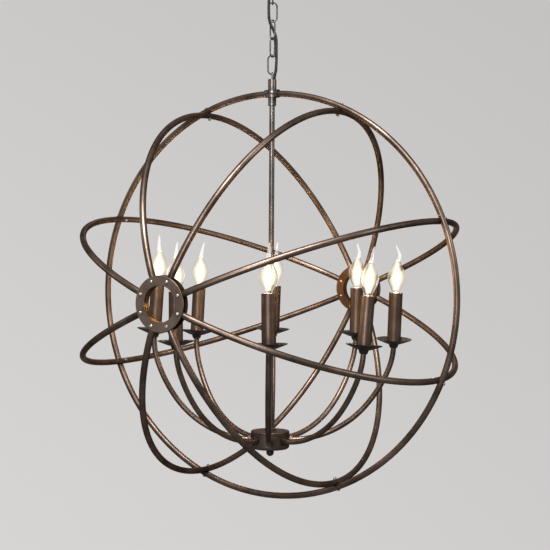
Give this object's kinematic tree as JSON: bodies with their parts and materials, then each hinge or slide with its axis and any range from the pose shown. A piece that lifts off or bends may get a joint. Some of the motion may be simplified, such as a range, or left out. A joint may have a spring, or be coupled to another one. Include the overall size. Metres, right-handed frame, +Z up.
{
  "type": "orb chandelier",
  "caption": "Bronze orb chandelier of round tube ribs between two ring hubs, with candle lamps on curved arms, hung on a chain from a ceiling canopy.",
  "frame": {"origin": "centre of the canopy's ceiling face", "axes": "+Z up, into the ceiling; the front hub of the orb looks along -Y"},
  "size_m": [0.7998, 0.7822, 1.0679],
  "materials": {
    "bronze_tube": "satin oil-rubbed bronze",
    "bronze_fitting": "satin oil-rubbed bronze",
    "bronze_plate": "satin oil-rubbed bronze",
    "bronze_drum": "satin oil-rubbed bronze",
    "bronze_canopy": "satin oil-rubbed bronze",
    "bronze_pan": "satin oil-rubbed bronze",
    "bronze_sleeve": "satin oil-rubbed bronze",
    "chain_steel": "dark bronze",
    "bright_screw": "nickel",
    "bracket_steel": "zinc",
    "cable_sheath": "satin",
    "gland_rubber": "matte",
    "block_plastic": "matte",
    "holder_plastic": "matte",
    "bulb_glass": "clear, lit"
  },
  "bodies": {
    "ceiling": {"ceiling_bracket": "bracket_steel", "loop_nut": "bright_screw", "canopy": "bronze_canopy", "canopy_collar": "bronze_fitting", "canopy_loop": "bronze_fitting", "cable_gland": "gland_rubber", "terminal_block": "block_plastic", "cable_6": "cable_sheath"},
    "link_5": {"chain_link_5": "chain_steel", "cable_5": "cable_sheath"},
    "link_4": {"chain_link_4": "chain_steel", "cable_4": "cable_sheath"},
    "link_3": {"chain_link_3": "chain_steel", "cable_3": "cable_sheath"},
    "link_2": {"chain_link_2": "chain_steel", "cable_2": "cable_sheath"},
    "link_1": {"chain_link_1": "chain_steel", "cable_1": "cable_sheath"},
    "orb": {"top_loop": "bronze_fitting", "top_neck": "bronze_fitting", "ring_hanger": "bronze_fitting", "lower_collar": "bronze_fitting", "equator_ring": "bronze_tube", "orb_rib_1": "bronze_tube", "orb_rib_2": "bronze_tube", "orb_rib_3": "bronze_tube", "orb_rib_4": "bronze_tube", "orb_rib_5": "bronze_tube", "orb_rib_6": "bronze_tube", "orb_rib_7": "bronze_tube", "orb_rib_8": "bronze_tube", "front_hub_outer_plate": "bronze_plate", "front_hub_inner_plate": "bronze_plate", "front_hub_core": "bronze_plate", "rear_hub_outer_plate": "bronze_plate", "rear_hub_inner_plate": "bronze_plate", "rear_hub_core": "bronze_plate", "hub_screws": "bright_screw", "crossing_screws": "bright_screw", "crossing_nuts": "bright_screw", "stem": "bronze_tube", "drum": "bronze_drum", "drum_cover": "bronze_drum", "cover_collar": "bronze_fitting", "finial": "bronze_fitting", "wire_block": "block_plastic", "lamp_arms": "bronze_tube", "arm_nuts": "bronze_fitting", "lamp_wires": "cable_sheath", "drip_pans": "bronze_pan", "candle_sleeves": "bronze_sleeve", "lamp_holders": "holder_plastic"},
    "lamp_1": {"bulb_1": "bulb_glass"},
    "lamp_2": {"bulb_2": "bulb_glass"},
    "lamp_3": {"bulb_3": "bulb_glass"},
    "lamp_4": {"bulb_4": "bulb_glass"},
    "lamp_5": {"bulb_5": "bulb_glass"},
    "lamp_6": {"bulb_6": "bulb_glass"},
    "lamp_7": {"bulb_7": "bulb_glass"},
    "lamp_8": {"bulb_8": "bulb_glass"}
  },
  "joints": [
    {"name": "hang_6", "type": "hinge", "parent": "ceiling", "child": "link_5", "pos_m": [0, 0, -0.0666], "axis": [0.866, 0.5, 0], "range_deg": [-12, 12], "deforming": ["cable_6"]},
    {"name": "hang_5", "type": "hinge", "parent": "link_5", "child": "link_4", "pos_m": [0, 0, -0.1005], "axis": [-0.5, 0.866, 0], "range_deg": [-12, 12], "deforming": ["cable_5"]},
    {"name": "hang_4", "type": "hinge", "parent": "link_4", "child": "link_3", "pos_m": [0, 0, -0.1345], "axis": [0.866, 0.5, 0], "range_deg": [-12, 12], "deforming": ["cable_4"]},
    {"name": "hang_3", "type": "hinge", "parent": "link_3", "child": "link_2", "pos_m": [0, 0, -0.1685], "axis": [0.866, -0.5, 0], "range_deg": [-12, 12], "deforming": ["cable_3"]},
    {"name": "hang_2", "type": "hinge", "parent": "link_2", "child": "link_1", "pos_m": [0, 0, -0.2025], "axis": [0, 1, 0], "range_deg": [-12, 12], "deforming": ["cable_2"]},
    {"name": "hang_1", "type": "hinge", "parent": "link_1", "child": "orb", "pos_m": [0, 0, -0.2365], "axis": [0.866, 0.5, 0], "range_deg": [-12, 12], "deforming": ["cable_1"]},
    {"name": "bulb_1_screw", "type": "hinge", "parent": "orb", "child": "lamp_1", "pos_m": [0.11567, -0.20604, -0.75325], "axis": [-0.0282, 0.0193, 0.9994], "range_deg": [0, 1260]},
    {"name": "bulb_2_screw", "type": "hinge", "parent": "orb", "child": "lamp_2", "pos_m": [0.23346, -0.05881, -0.75965], "axis": [0.0462, 0.0709, 0.9964], "range_deg": [0, 1260]},
    {"name": "bulb_3_screw", "type": "hinge", "parent": "orb", "child": "lamp_3", "pos_m": [0.21814, 0.10219, -0.75982], "axis": [0.0602, -0.0458, 0.9971], "range_deg": [0, 1260]},
    {"name": "bulb_4_screw", "type": "hinge", "parent": "orb", "child": "lamp_4", "pos_m": [0.07072, 0.22989, -0.75936], "axis": [0.0144, 0.001, 0.9999], "range_deg": [0, 1260]},
    {"name": "bulb_5_screw", "type": "hinge", "parent": "orb", "child": "lamp_5", "pos_m": [-0.11639, 0.21049, -0.75937], "axis": [0.027, 0.0161, 0.9995], "range_deg": [0, 1260]},
    {"name": "bulb_6_screw", "type": "hinge", "parent": "orb", "child": "lamp_6", "pos_m": [-0.22631, 0.08263, -0.75987], "axis": [0.015, 0.0667, 0.9977], "range_deg": [0, 1260]},
    {"name": "bulb_7_screw", "type": "hinge", "parent": "orb", "child": "lamp_7", "pos_m": [-0.20504, -0.10383, -0.74465], "axis": [0.0393, 0.0522, 0.9979], "range_deg": [0, 1260]},
    {"name": "bulb_8_screw", "type": "hinge", "parent": "orb", "child": "lamp_8", "pos_m": [-0.07279, -0.22582, -0.75462], "axis": [-0.0254, 0.0252, 0.9994], "range_deg": [0, 1260]}
  ]
}
